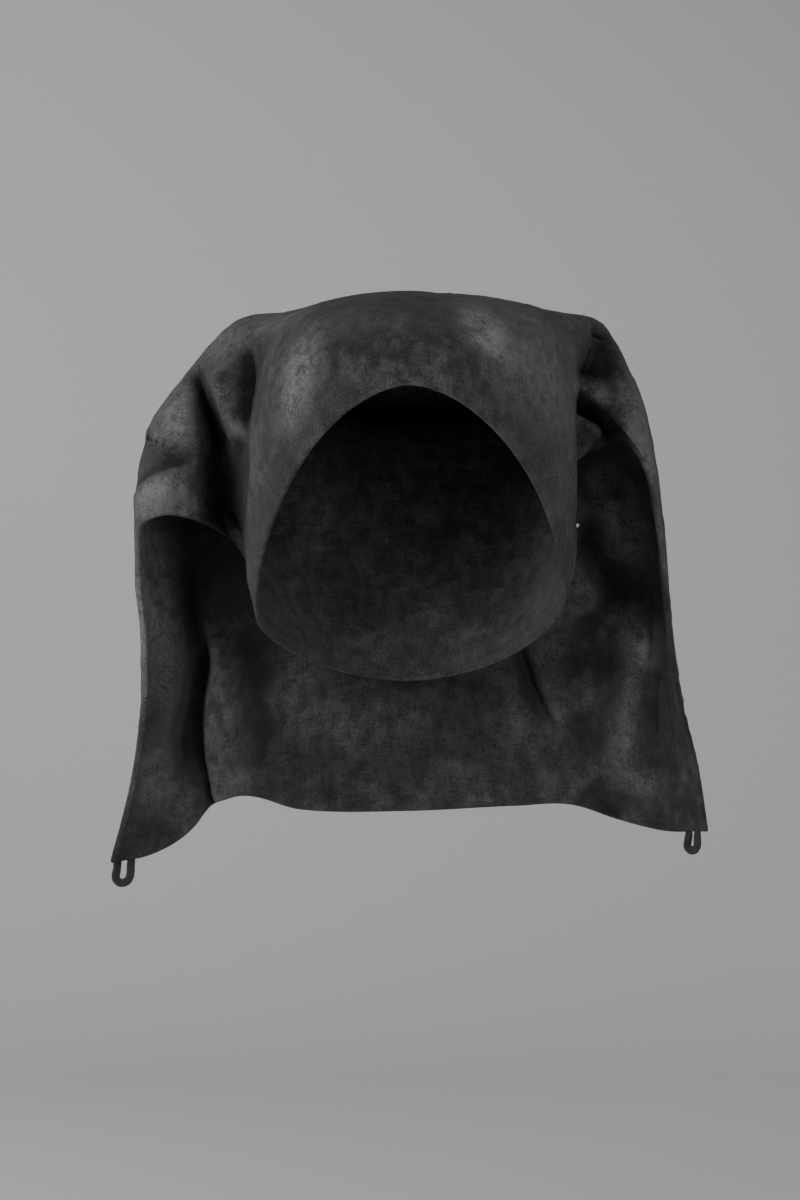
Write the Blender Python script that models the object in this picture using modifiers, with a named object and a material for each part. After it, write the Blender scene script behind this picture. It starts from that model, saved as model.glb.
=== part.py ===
"""A long hood of black linen, as it hangs on a head.

The hood is a flat bag of two panels, sewn together at both sides and at its far end. The open end goes round the
head. The bag then folds over behind the crown, so that the rest of its length hangs down the back as a tail of two
layers, wider than the head. A small fabric loop is sewn to each bottom corner.

Metres, +Z up, and the face looks along -Y. The origin is where the crown rests on the top of the head.
"""

import math

import bpy
import numpy as np
from mathutils import Vector

# Driving sizes
CLOTH = 0.0014
SEAM_GAP = 0.0003
SEAM_TRIM = 0.0003
FULLNESS = 0.0006
FULLNESS_REACH = 0.008

# How finely the panels are meshed: rows over the crown, rows down the tail, and columns from a panel's side seam to
# its middle. The columns near the seam lie closer together: 0 crowds them not at all.
CROWN_ROWS = 27
TAIL_ROWS = 15
HALF_COLUMNS = 16
COLUMN_CROWDING = 0.38

# How much the angles that an arch is measured at crowd towards its seam, where 1 is not at all
ANGLE_CROWDING = 1.3

# The bag's cross-sections, from its opening to its far end. "run" is how far along the bag a section lies. The outer
# and inner columns place the middle of each panel, the left and right columns place the side seams, and each
# "spread" says how round (1) or square (below 1) the panel turns between its middle and that seam.
SECTION_COLUMNS = (
    "run", "outer_y", "outer_z", "inner_y", "inner_z",
    "left_x", "left_y", "left_z", "right_x", "right_y", "right_z", "left_spread", "right_spread",
)
SECTIONS = (
    # opening, at brow, ears and nape
    (0.00, -0.086, -0.054, 0.082, -0.200, -0.077, 0.012, -0.164, 0.079, 0.010, -0.157, 1.14, 1.14),
    # top of the brow
    (0.07, -0.076, -0.0265, 0.091, -0.168, -0.082, 0.028, -0.142, 0.085, 0.024, -0.124, 0.90, 0.90),
    # front of the crown, with the seam deep behind the ear
    (0.14, -0.052, -0.0110, 0.095, -0.137, -0.087, 0.056, -0.132, 0.0855, 0.044, -0.084, 0.78, 0.74),
    (0.20, -0.024, -0.0075, 0.095, -0.112, -0.098, 0.064, -0.122, 0.0880, 0.052, -0.048, 0.72, 0.66),
    # top of the crown, with the seam coming forward under the puffs
    (0.27, 0.010, -0.0047, 0.093, -0.088, -0.112, 0.052, -0.114, 0.1015, 0.051, -0.055, 0.70, 0.56),
    (0.34, 0.044, -0.0050, 0.093, -0.068, -0.128, 0.044, -0.112, 0.116, 0.046, -0.071, 0.68, 0.50),
    # back of the crown, where the bag is widest across the shoulders
    (0.41, 0.076, -0.0140, 0.101, -0.056, -0.1410, 0.047, -0.119, 0.1275, 0.048, -0.093, 0.68, 0.60),
    # turnover
    (0.48, 0.104, -0.038, 0.112, -0.057, -0.1435, 0.060, -0.140, 0.134, 0.060, -0.125, 0.70, 0.64),
    # top of the tail
    (0.62, 0.133, -0.092, 0.121, -0.096, -0.1415, 0.074, -0.178, 0.140, 0.074, -0.172, 0.80, 0.75),
    # middle of the tail
    (0.76, 0.140, -0.156, 0.127, -0.156, -0.1422, 0.086, -0.216, 0.1465, 0.086, -0.209, 0.90, 0.90),
    # lower tail
    (0.90, 0.139, -0.220, 0.129, -0.220, -0.150, 0.094, -0.260, 0.157, 0.094, -0.246, 1.00, 1.00),
    # far end
    (1.00, 0.132, -0.266, 0.132, -0.266, -0.161, 0.100, -0.300, 0.163, 0.100, -0.280, 1.00, 1.00),
)

# The corner loops: where each one's middle is across the tail, how far its plane is turned about the vertical, and
# how far it drops below the hem. Each is a U of rolled cloth.
LOOP_COLUMNS = ("x", "turn_degrees", "drop")
LOOPS = {
    "left_corner_loop": (-0.1551, 25, 0.0146),
    "right_corner_loop": (0.1568, -48, 0.0128),
}
LOOP_THICKNESS = 0.0042
LOOP_WIDTH = 0.0131

# The stud at the side seam, beside the right cheek
STUD_NEAR = (0.087, 0.022, -0.116)
STUD_RADIUS = 0.0013
STUD_HEIGHT = 0.0013

# Height of the far end's seam across the tail, from the left corner to the right one
HEM_COLUMNS = ("x", "z")
HEM = (
    (-0.161, -0.300),
    (-0.142, -0.297),
    (-0.120, -0.284),
    (-0.108, -0.270),
    (-0.098, -0.266),
    (-0.060, -0.270),
    (0.000, -0.271),
    (0.060, -0.268),
    (0.090, -0.270),
    (0.120, -0.279),
    (0.145, -0.284),
    (0.163, -0.283),
)
HEM_STARTS = 0.66
TURNOVER = 0.48

# Where the top of the outer panel stands up: over the crown of the head, and at the corners of the two puffs
LIFT_COLUMNS = ("x", "y", "half_width", "half_depth", "height")
LIFTS = {
    "crown": (0.000, 0.012, 0.040, 0.048, 0.0040),
    "left puff's corner": (-0.092, 0.035, 0.021, 0.040, 0.0078),
    "right puff's corner": (0.101, 0.040, 0.014, 0.040, 0.0040),
}
# The share of the way from a side seam to the middle over which a lift grows, so that the seam stays closed
LIFTS_REACH = 0.45

# Folds, drawn as lines in the front view. Each pushes the cloth along Y, backwards where its depth is positive and
# forwards where it is negative, and fades out away from its line and at the line's ends.
FOLD_COLUMNS = ("x0", "z0", "x1", "z1", "width", "depth")

# Folds of the front of the crown and of the two puffs beside the head
CROWN_FOLDS = {
    "cavity beside the left cheek": (-0.090, -0.058, -0.095, -0.136, 0.012, 0.026),
    "left puff's swell": (-0.133, -0.046, -0.130, -0.108, 0.026, -0.010),
    "left puff's valley": (-0.107, -0.030, -0.099, -0.090, 0.009, 0.018),
    "flap beside the left valley": (-0.096, -0.036, -0.088, -0.084, 0.006, -0.009),
    "left puff's upper crease": (-0.150, -0.071, -0.096, -0.081, 0.005, 0.005),
    "right puff's dent": (0.101, -0.014, 0.108, -0.036, 0.010, 0.014),
}
CROWN_FADES = (0.32, 0.43)

# Folds of the hanging tail, which push both of its layers
TAIL_FOLDS = {
    "left pleat's valley": (-0.118, -0.125, -0.116, -0.270, 0.013, 0.015),
    "left inner pleat": (-0.098, -0.176, -0.097, -0.285, 0.012, -0.014),
    "right dark band": (0.092, -0.110, 0.128, -0.166, 0.011, 0.010),
    "right pleat": (0.132, -0.150, 0.122, -0.275, 0.014, -0.010),
    "right slanting dent": (0.066, -0.176, 0.086, -0.230, 0.009, 0.007),
}
TAIL_STARTS = (0.44, 0.58)


def smooth_step(value, low, high):
    """0 below low, 1 above high, and a smooth turn between them."""
    t = np.clip((value - low) / (high - low), 0, 1)
    return t * t * (3 - 2 * t)


def curve_through(knots, values, at):
    """A smooth curve through values at knots, read at the places in at."""
    slopes = np.gradient(values, knots)
    index = np.clip(np.searchsorted(knots, at) - 1, 0, len(knots) - 2)
    span = knots[index + 1] - knots[index]
    t = (at - knots[index]) / span
    before, after = values[index], values[index + 1]
    return (
        (1 + 2 * t) * (1 - t) ** 2 * before
        + t * (1 - t) ** 2 * span * slopes[index]
        + t * t * (3 - 2 * t) * after
        + t * t * (t - 1) * span * slopes[index + 1]
    )


def sections(runs):
    """Every column of SECTIONS as a smooth array along the bag."""
    table = np.array(SECTIONS)
    knots = table[:, 0]
    return {
        name: curve_through(knots, table[:, column], runs) for column, name in enumerate(SECTION_COLUMNS)
    }


def arch(seam, middle, spread, turn):
    """Points of a panel's rounded section at the angles in turn, from 0 at the side seam to a quarter turn at the
    panel's middle."""
    sideways = np.abs(np.cos(turn)) ** spread
    sideways[turn > math.pi / 2 - 1e-9] = 0
    towards = np.sin(turn) ** spread
    return np.stack(
        [
            seam[0] * sideways,
            seam[1] + (middle[1] - seam[1]) * towards,
            seam[2] + (middle[2] - seam[2]) * towards,
        ],
        axis=1,
    )


def arch_turns(seam, middles, spread, count):
    """Angles that divide both panels' sections into steps along the cloth, shorter near the seam. The angles that
    they are measured at crowd towards the seam, where a squarer arch leaves it steeply."""
    fine = math.pi / 2 * np.linspace(0, 1, 241) ** ANGLE_CROWDING
    share = np.zeros(len(fine))
    for middle in middles:
        line = arch(seam, middle, spread, fine)
        along = np.concatenate([[0], np.cumsum(np.linalg.norm(np.diff(line, axis=0), axis=1))])
        share += along / along[-1] / len(middles)
    step = np.linspace(0, 1, count + 1)
    wanted = step * (1 - COLUMN_CROWDING + COLUMN_CROWDING * step**2)
    wanted[0] = SEAM_TRIM / along[-1]
    return np.interp(wanted, share, fine)


def outward(grid, is_outer):
    """Unit normals of a panel's grid, pointing out of the bag."""
    across = np.gradient(grid, axis=1)
    down = np.gradient(grid, axis=0)
    normal = np.cross(across, down) if is_outer else np.cross(down, across)
    return normal / np.maximum(np.linalg.norm(normal, axis=2, keepdims=True), 1e-12)


def panel_grids(runs, half_columns):
    """The outer and the inner panel's surfaces as rows of points, each from the left seam to the right one."""
    s = sections(runs)
    rows = ([], [])
    for i in range(len(runs)):
        middles = [(0, s[layer + "_y"][i], s[layer + "_z"][i]) for layer in ("outer", "inner")]
        halves = ([], [])
        for side in ("left", "right"):
            seam = (s[side + "_x"][i], s[side + "_y"][i], s[side + "_z"][i])
            spread = s[side + "_spread"][i]
            turns = arch_turns(seam, middles, spread, half_columns)
            for layer in range(2):
                halves[layer].append(arch(seam, middles[layer], spread, turns))
        for layer in range(2):
            left, right = halves[layer]
            rows[layer].append(np.concatenate([left, right[-2::-1]]))
    grids = []
    for layer in range(2):
        grid = np.array(rows[layer])
        step = np.linalg.norm(np.diff(grid, axis=1), axis=2)
        from_left = np.concatenate([np.zeros((len(runs), 1)), np.cumsum(step, axis=1)], axis=1)
        from_seam = np.minimum(from_left, from_left[:, -1:] - from_left)
        fullness = SEAM_GAP / 2 + FULLNESS * (1 - np.exp(-from_seam / FULLNESS_REACH))
        grids.append(grid + outward(grid, layer == 0) * fullness[..., None])
    return grids


def lifts(points):
    """How far the head and the puffs' corners lift each point of the outer panel."""
    total = np.zeros(points.shape[:2])
    for x, y, half_width, half_depth, height in LIFTS.values():
        aside, along = (points[..., 0] - x) / half_width, (points[..., 1] - y) / half_depth
        total += height * np.exp(-(aside**2) - along**2)
    return total


def pushes(points, folds):
    """How far the folds together push each point along Y."""
    total = np.zeros(points.shape[:2])
    for x0, z0, x1, z1, width, depth in folds.values():
        start = np.array([x0, z0])
        line = np.array([x1, z1]) - start
        flat = points[..., [0, 2]] - start
        along = flat @ line / (line @ line)
        away = flat - along[..., None] * line
        beyond = np.clip(np.abs(along - 0.5) - 0.3, 0, None) / 0.15
        total += depth * np.exp(-((away**2).sum(-1) / width**2) ** 1.5) * np.exp(-(beyond**2))
    return total


def folded(grid, runs, is_outer):
    """The panel with its far end cut to the hem's line and its folds pressed in."""
    run = runs[:, None]
    hem = np.array(HEM)
    level = np.interp(grid[-1, :, 0], hem[:, 0], hem[:, 1])
    drop = (level - grid[-1, :, 2])[None, :] * smooth_step(run, HEM_STARTS, 1.0)
    from_seam = 1 - np.abs(np.linspace(-1, 1, grid.shape[1]))
    grown = (1 - smooth_step(run, *CROWN_FADES)) * smooth_step(from_seam, 0, LIFTS_REACH)
    lift = lifts(grid) * grown if is_outer else 0
    grid = grid + (drop + lift)[..., None] * np.array([0, 0, 1])
    crown = pushes(grid, CROWN_FOLDS) * (1 - smooth_step(run, *CROWN_FADES)) * smooth_step(run, 0.0, 0.10)
    if not is_outer:
        crown *= 1 - smooth_step(from_seam, 0.1, 0.6)
    push = crown + pushes(grid, TAIL_FOLDS) * smooth_step(run, *TAIL_STARTS)
    push += SEAM_GAP * smooth_step(run, 0.85, 1.0) * (1 if is_outer else -1)
    return grid + push[..., None] * np.array([0, 1, 0])


def sheet_object(name, grid, flip, material):
    """A panel of cloth: the grid as faces, thickened outwards by the cloth's thickness."""
    rows, columns = grid.shape[:2]
    faces = []
    for i in range(rows - 1):
        for j in range(columns - 1):
            corner = i * columns + j
            face = (corner, corner + columns, corner + columns + 1, corner + 1)
            faces.append(face[::-1] if flip else face)
    mesh = bpy.data.meshes.new(name)
    mesh.from_pydata([tuple(p) for p in grid.reshape(-1, 3)], [], faces)
    mesh.shade_smooth()
    obj = bpy.data.objects.new(name, mesh)
    mesh.materials.append(material)
    thicken = obj.modifiers.new("cloth thickness", "SOLIDIFY")
    thicken.thickness = CLOTH
    thicken.offset = 1
    thicken.use_even_offset = False
    return obj


def hem_at(x, outer, inner):
    """The hem's place below both layers at x: (y, z)."""
    ends = [panel[-1][np.argsort(panel[-1, :, 0])] for panel in (outer, inner)]
    y = sum(np.interp(x, end[:, 0], end[:, 1]) for end in ends) / 2
    z = min(np.interp(x, end[:, 0], end[:, 2]) for end in ends)
    return y, z


def loop_object(name, x, turn_degrees, drop, outer, inner, material):
    """A U of rolled cloth that hangs from a corner of the hem, as a round tube with flat ends."""
    radius = (LOOP_WIDTH - LOOP_THICKNESS) / 2
    y, z = hem_at(x, outer, inner)
    bottom = -drop + radius + LOOP_THICKNESS / 2
    angles = np.linspace(math.pi, 2 * math.pi, 13)
    outline = [(radius * math.cos(a), bottom + radius * math.sin(a)) for a in angles]
    across = radius * math.cos(math.radians(turn_degrees))
    reach = LOOP_THICKNESS / 2
    tops = []
    for side in (-1, 1):
        edge = min(hem_at(x + side * across + shift, outer, inner)[1] for shift in (-reach, 0, reach))
        tops.append((side * radius, edge - SEAM_GAP - z))
    outline = [tops[0]] + outline + [tops[1]]
    turn = math.radians(turn_degrees)
    curve = bpy.data.curves.new(name, "CURVE")
    curve.dimensions = "3D"
    curve.bevel_depth = LOOP_THICKNESS / 2
    curve.bevel_resolution = 2
    curve.use_fill_caps = True
    spline = curve.splines.new("POLY")
    spline.points.add(len(outline) - 1)
    for point, (aside, up) in zip(spline.points, outline):
        point.co = (x + aside * math.cos(turn), y + aside * math.sin(turn), z + up, 1)
    spline.use_smooth = True
    curve.materials.append(material)
    return bpy.data.objects.new(name, curve)


def stud_object(name, outer, material):
    """A small domed stud, its flat back on the cloth of the outer panel."""
    distance = np.linalg.norm(outer - np.array(STUD_NEAR), axis=2)
    i, j = np.unravel_index(np.argmin(distance), distance.shape)
    down = outer[i + 1, j] - outer[i - 1, j]
    across = outer[i, j + 1] - outer[i, j - 1]
    axis = Vector(np.cross(across, down)).normalized()
    seat = Vector(outer[i, j]) + axis * (CLOTH + SEAM_GAP)
    points = []
    faces = []
    turns, rings = 16, 4
    for ring in range(rings):
        rise = math.pi / 2 * ring / rings
        for turn in range(turns):
            angle = 2 * math.pi * turn / turns
            round_about = Vector((math.cos(angle), math.sin(angle), 0)) * STUD_RADIUS * math.cos(rise)
            points.append(round_about + Vector((0, 0, STUD_HEIGHT * math.sin(rise))))
    points.append(Vector((0, 0, STUD_HEIGHT)))
    for ring in range(rings - 1):
        for turn in range(turns):
            after = (turn + 1) % turns
            low, high = ring * turns, (ring + 1) * turns
            faces.append((low + turn, low + after, high + after, high + turn))
    top = (rings - 1) * turns
    faces += [(top + turn, top + (turn + 1) % turns, len(points) - 1) for turn in range(turns)]
    faces.append(tuple(reversed(range(turns))))
    stand = axis.to_track_quat("Z", "Y")
    mesh = bpy.data.meshes.new(name)
    mesh.from_pydata([seat + stand @ p for p in points], [], faces)
    for face in mesh.polygons[:-1]:
        face.use_smooth = True
    mesh.materials.append(material)
    return bpy.data.objects.new(name, mesh)


def make_material(name, colour, roughness, metallic=0.0):
    material = bpy.data.materials.new(name)
    material.use_nodes = True
    shader = material.node_tree.nodes["Principled BSDF"]
    shader.inputs["Base Color"].default_value = (*colour, 1)
    shader.inputs["Roughness"].default_value = roughness
    shader.inputs["Metallic"].default_value = metallic
    return material


def main():
    for obj in list(bpy.data.objects):
        bpy.data.objects.remove(obj)
    parts = bpy.data.collections.new("long_hood")
    bpy.context.scene.collection.children.link(parts)
    linen = make_material("black_linen", (0.030, 0.030, 0.032), 0.92)
    rolled = make_material("loop_linen", (0.024, 0.024, 0.026), 0.9)
    metal = make_material("stud_metal", (0.62, 0.61, 0.59), 0.35, 1.0)
    runs = np.concatenate(
        [np.linspace(0, TURNOVER, CROWN_ROWS, endpoint=False), np.linspace(TURNOVER, 1, TAIL_ROWS + 1)]
    )
    outer, inner = panel_grids(runs, HALF_COLUMNS)
    outer = folded(outer, runs, True)
    inner = folded(inner, runs, False)
    parts.objects.link(sheet_object("outer_panel", outer, True, linen))
    parts.objects.link(sheet_object("inner_panel", inner, False, linen))
    for name, place in LOOPS.items():
        parts.objects.link(loop_object(name, *place, outer, inner, rolled))
    parts.objects.link(stud_object("side_stud", outer, metal))


main()
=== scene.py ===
"""The looks of a long hood of black linen, as it hangs on a head.

The hood is a flat bag of two panels. Its open end goes round the head, and behind the crown it folds over,
so that the rest of it hangs down the back as a tail of two layers. Metres, +Z up, and the face looks
along -Y.
"""

import math

import bmesh
import bpy
import numpy as np
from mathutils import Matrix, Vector, noise


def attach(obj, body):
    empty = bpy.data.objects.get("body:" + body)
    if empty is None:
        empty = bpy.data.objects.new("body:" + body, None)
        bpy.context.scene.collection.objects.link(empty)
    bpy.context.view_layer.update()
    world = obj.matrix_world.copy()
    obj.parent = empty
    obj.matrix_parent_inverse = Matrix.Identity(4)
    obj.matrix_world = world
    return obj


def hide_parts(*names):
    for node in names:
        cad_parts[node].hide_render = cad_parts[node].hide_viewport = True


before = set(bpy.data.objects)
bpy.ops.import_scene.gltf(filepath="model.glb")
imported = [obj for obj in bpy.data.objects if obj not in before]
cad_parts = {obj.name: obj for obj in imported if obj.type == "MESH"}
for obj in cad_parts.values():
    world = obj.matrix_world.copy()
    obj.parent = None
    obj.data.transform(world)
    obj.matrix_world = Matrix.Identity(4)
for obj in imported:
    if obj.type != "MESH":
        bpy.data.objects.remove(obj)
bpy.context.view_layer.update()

# The cloth's thickness, and the width and thickness of the hem that is folded in at the rim
CLOTH = 0.0014
RIM_HEM = 0.011
RIM_THICKNESS = 0.0024

# How far each panel bellies out, and the distance from the side seams over which most of that comes
FULLNESS = 0.0006
FULLNESS_REACH = 0.008

# The bag's length, near enough to place the finest rows of the mesh
BAG_LENGTH = 0.464

# Heights of the soft crumple, and the scales of its noise across the cloth and down it: broad waves, the
# bends of the ridges, the ridges themselves and fine ripples
BROAD_CRUMPLE = 0.0012
RIDGE_CRUMPLE = 0.0007
FINE_CRUMPLE = 0.00034
BROAD_WAVES = (28, 22)
BENDING_WAVES = (50, 50)
RIDGE_WAVES = (62, 46)
FINE_WAVES = (150, 130)

# Puckers along the side seams and along the far end: their height and length, and the band that they lie in
SEAM_PUCKER = 0.00035
SEAM_PUCKER_LENGTH = 0.0085
END_PUCKER = 0.0003
END_PUCKER_LENGTH = 0.0095
PUCKER_MIDDLE = 0.003
PUCKER_REACH = 0.006

# The share of the crumple that is left at the rim, and how far from the rim it is whole again
RIM_CALM = 0.35
RIM_CALM_REACH = 0.03

# How the cloth wears, with painted light and shade: how pale a ridge gets and how dark a valley gets, partly
# as wear and partly as painted highlight and painted shade, the wear line along the seams, the wear at the
# rim, and the share of it all that the cloth's back gets
RIDGE_WEAR_AND_SHADE = 0.7
SEAM_WEAR_MIDDLE = 0.0017
SEAM_WEAR_WIDTH = 0.0009
OUTER_SEAM_WEAR = 0.3
INNER_SEAM_WEAR = 0.1
RIM_WEAR = 0.15
RIM_WEAR_REACH = 0.0013
BACK_WEAR = 0.2

# How often a panel is smoothed to tell its ridges from its valleys, and the height that marks a ridge well
RIDGE_PASSES = 60
RIDGE_HEIGHT = 0.0012

# The bag's cross-sections, as in the part's source. The run is the share of the way from the opening to the
# far end. A spread of 1 makes a quarter of an ellipse, and a smaller one makes it squarer.
SECTION_COLUMNS = (
    "run", "outer_y", "outer_z", "inner_y", "inner_z",
    "left_x", "left_y", "left_z", "right_x", "right_y", "right_z", "left_spread", "right_spread",
)
SECTIONS = (
    # opening, at brow, ears and nape
    (0.00, -0.086, -0.054, 0.082, -0.200, -0.077, 0.012, -0.164, 0.079, 0.010, -0.157, 1.14, 1.14),
    # top of the brow
    (0.07, -0.076, -0.0265, 0.091, -0.168, -0.082, 0.028, -0.142, 0.085, 0.024, -0.124, 0.90, 0.90),
    # front of the crown, with the seam deep behind the ear
    (0.14, -0.052, -0.0110, 0.095, -0.137, -0.087, 0.056, -0.132, 0.0855, 0.044, -0.084, 0.78, 0.74),
    (0.20, -0.024, -0.0075, 0.095, -0.112, -0.098, 0.064, -0.122, 0.0880, 0.052, -0.048, 0.72, 0.66),
    # top of the crown, with the seam coming forward under the puffs
    (0.27, 0.010, -0.0047, 0.093, -0.088, -0.112, 0.052, -0.114, 0.1015, 0.051, -0.055, 0.70, 0.56),
    (0.34, 0.044, -0.0050, 0.093, -0.068, -0.128, 0.044, -0.112, 0.116, 0.046, -0.071, 0.68, 0.50),
    # back of the crown, where the bag is widest across the shoulders
    (0.41, 0.076, -0.0140, 0.101, -0.056, -0.1410, 0.047, -0.119, 0.1275, 0.048, -0.093, 0.68, 0.60),
    # turnover
    (0.48, 0.104, -0.038, 0.112, -0.057, -0.1435, 0.060, -0.140, 0.134, 0.060, -0.125, 0.70, 0.64),
    # top of the tail
    (0.62, 0.133, -0.092, 0.121, -0.096, -0.1415, 0.074, -0.178, 0.140, 0.074, -0.172, 0.80, 0.75),
    # middle of the tail
    (0.76, 0.140, -0.156, 0.127, -0.156, -0.1422, 0.086, -0.216, 0.1465, 0.086, -0.209, 0.90, 0.90),
    # lower tail
    (0.90, 0.139, -0.220, 0.129, -0.220, -0.150, 0.094, -0.260, 0.157, 0.094, -0.246, 1.00, 1.00),
    # far end
    (1.00, 0.132, -0.266, 0.132, -0.266, -0.161, 0.100, -0.300, 0.163, 0.100, -0.280, 1.00, 1.00),
)

# Height of the far end's seam across the tail
# Columns: x, z
HEM = (
    (-0.161, -0.300),
    (-0.142, -0.297),
    (-0.120, -0.284),
    (-0.108, -0.270),
    (-0.098, -0.266),
    (-0.060, -0.273),
    (0.000, -0.274),
    (0.060, -0.271),
    (0.090, -0.270),
    (0.120, -0.279),
    (0.145, -0.284),
    (0.163, -0.283),
)
# The run from which the cloth is drawn to the hem's line
HEM_STARTS = 0.66

# Where the top of the outer panel stands up: over the crown, and at the corners of the two puffs
# Columns: x, y, half width, half depth, height
LIFTS = {
    "crown": (0.000, 0.012, 0.040, 0.048, 0.0040),
    "left puff's corner": (-0.092, 0.035, 0.021, 0.040, 0.0078),
    "right puff's corner": (0.101, 0.040, 0.014, 0.040, 0.0040),
}
# The share of the way from a side seam to the middle over which a lift grows, so that the seam stays shut
LIFTS_REACH = 0.30

# Folds are lines in the front view that push the cloth along Y, backwards where a depth is positive. A fold
# has its own depth and width on the left and on the right of its line, for someone who goes along the line,
# and turns from one to the other over its crease.
# Columns: points (x, z), left depth, left width, right depth, right width, crease

CROWN_FOLDS = {
    "left cheek edge": (
        ((-0.066, -0.020), (-0.073, -0.040), (-0.078, -0.056), (-0.0795, -0.074), (-0.0805, -0.099),
         (-0.084, -0.126), (-0.084, -0.145)),
        0.000, 0.004, 0.022, 0.014, 0.0010,
    ),
    "cavity beside the left cheek": (
        ((-0.095, -0.070), (-0.095, -0.090), (-0.094, -0.106), (-0.092, -0.132), (-0.088, -0.165)),
        0.016, 0.013, 0.016, 0.011, 0.004,
    ),
    "left puff's swell": (
        ((-0.126, -0.046), (-0.130, -0.070), (-0.128, -0.092), (-0.122, -0.112)),
        -0.010, 0.022, -0.010, 0.024, 0.004,
    ),
    "left puff's inner edge": (
        ((-0.1085, -0.038), (-0.108, -0.058), (-0.107, -0.078), (-0.105, -0.098), (-0.102, -0.122),
         (-0.098, -0.155)),
        0.018, 0.017, -0.003, 0.014, 0.0032,
    ),
    "left puff's valley": (
        ((-0.110, -0.032), (-0.107, -0.050), (-0.103, -0.066), (-0.097, -0.082)),
        0.012, 0.007, 0.012, 0.005, 0.002,
    ),
    "flap beside the left valley": (
        ((-0.107, -0.034), (-0.100, -0.050), (-0.0945, -0.066), (-0.0885, -0.080)),
        -0.016, 0.010, 0.006, 0.006, 0.0010,
    ),
    "dip between flap and cheek": (
        ((-0.080, -0.020), (-0.0765, -0.036), (-0.0775, -0.054), (-0.080, -0.070)),
        0.006, 0.003, 0.010, 0.0065, 0.0010,
    ),
    "left puff's upper crease": (
        ((-0.147, -0.069), (-0.136, -0.0715), (-0.126, -0.074), (-0.114, -0.077), (-0.101, -0.078)),
        -0.0060, 0.011, 0.0045, 0.009, 0.0005,
    ),
    "left puff's lower crease": (
        ((-0.150, -0.108), (-0.1444, -0.103), (-0.1357, -0.0945), (-0.1226, -0.0893), (-0.108, -0.085)),
        0.0080, 0.011, -0.0040, 0.014, 0.0005,
    ),
    "left puff's small crease": (
        ((-0.116, -0.094), (-0.110, -0.103), (-0.104, -0.110)),
        0.003, 0.006, -0.0015, 0.006, 0.0008,
    ),
    "right puff's dent": (
        ((0.0985, -0.011), (0.0965, -0.018), (0.0940, -0.0255), (0.0915, -0.0360), (0.0900, -0.043)),
        0.022, 0.014, 0.022, 0.004, 0.0020,
    ),
    "right puff's facet": (
        ((0.088, -0.046), (0.100, -0.050), (0.112, -0.056)),
        -0.003, 0.007, -0.003, 0.006, 0.002,
    ),
    "right puff's edge": (
        ((0.112, -0.030), (0.121, -0.052), (0.128, -0.078)),
        0.002, 0.006, -0.003, 0.009, 0.0015,
    ),
    "crown's drag line": (
        ((0.036, -0.006), (0.060, -0.018), (0.0775, -0.034), (0.0852, -0.054)),
        -0.0016, 0.007, 0.0012, 0.007, 0.0012,
    ),
}
# The runs over which the lifts and the inner panel's crown folds fade out, then the outer panel's crown
# folds, and the stretch along Y over which the crown folds end
CROWN_FADES = (0.32, 0.43)
OUTER_FOLDS_FADE = (0.45, 0.56)
CROWN_FOLDS_REACH = (0.062, 0.084)

TAIL_FOLDS = {
    "left ridge": (
        ((-0.137, -0.135), (-0.136, -0.165), (-0.135, -0.195), (-0.140, -0.225), (-0.143, -0.262)),
        -0.005, 0.010, -0.004, 0.010, 0.003,
    ),
    "left pleat": (
        ((-0.122, -0.118), (-0.1245, -0.150), (-0.1225, -0.184), (-0.126, -0.212), (-0.130, -0.235),
         (-0.124, -0.270)),
        0.014, 0.014, -0.003, 0.010, 0.0025,
    ),
    "left inner pleat": (
        ((-0.1115, -0.166), (-0.107, -0.190), (-0.1105, -0.212), (-0.1105, -0.235), (-0.107, -0.258),
         (-0.103, -0.284)),
        -0.012, 0.011, 0.010, 0.010, 0.0010,
    ),
    "left inner pleat's far side": (
        ((-0.088, -0.160), (-0.088, -0.200), (-0.084, -0.240), (-0.080, -0.285)),
        0.010, 0.020, 0.004, 0.010, 0.006,
    ),
    "right dark band": (
        ((0.090, -0.112), (0.106, -0.136), (0.124, -0.162)),
        0.011, 0.009, 0.011, 0.012, 0.003,
    ),
    "right ridge under the band": (
        ((0.084, -0.128), (0.0915, -0.145), (0.101, -0.166)),
        -0.004, 0.009, -0.006, 0.010, 0.002,
    ),
    "right dim ridge": (
        ((0.108, -0.098), (0.114, -0.116), (0.119, -0.136)),
        -0.005, 0.008, -0.005, 0.008, 0.002,
    ),
    "right pleat": (
        ((0.132, -0.160), (0.1305, -0.186), (0.1255, -0.212), (0.1240, -0.234), (0.128, -0.266)),
        -0.003, 0.010, -0.008, 0.012, 0.0015,
    ),
    "right pleat's shaded side": (
        ((0.141, -0.190), (0.139, -0.215), (0.139, -0.240)),
        0.004, 0.010, 0.005, 0.006, 0.002,
    ),
    "right slanting crease": (
        ((0.064, -0.176), (0.072, -0.198), (0.085, -0.228)),
        -0.005, 0.015, 0.006, 0.008, 0.0009,
    ),
    "right hem dent": (
        ((0.098, -0.256), (0.110, -0.268), (0.124, -0.276)),
        0.007, 0.008, 0.007, 0.008, 0.003,
    ),
}
# The runs over which the tail's folds come in
TAIL_STARTS = (0.44, 0.58)

# The share of a fold's length over which it fades in and out at its ends, and how sharply it falls off
# sideways
FOLD_ENDS = 0.22
FOLD_FALLOFF = 1.5

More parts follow.
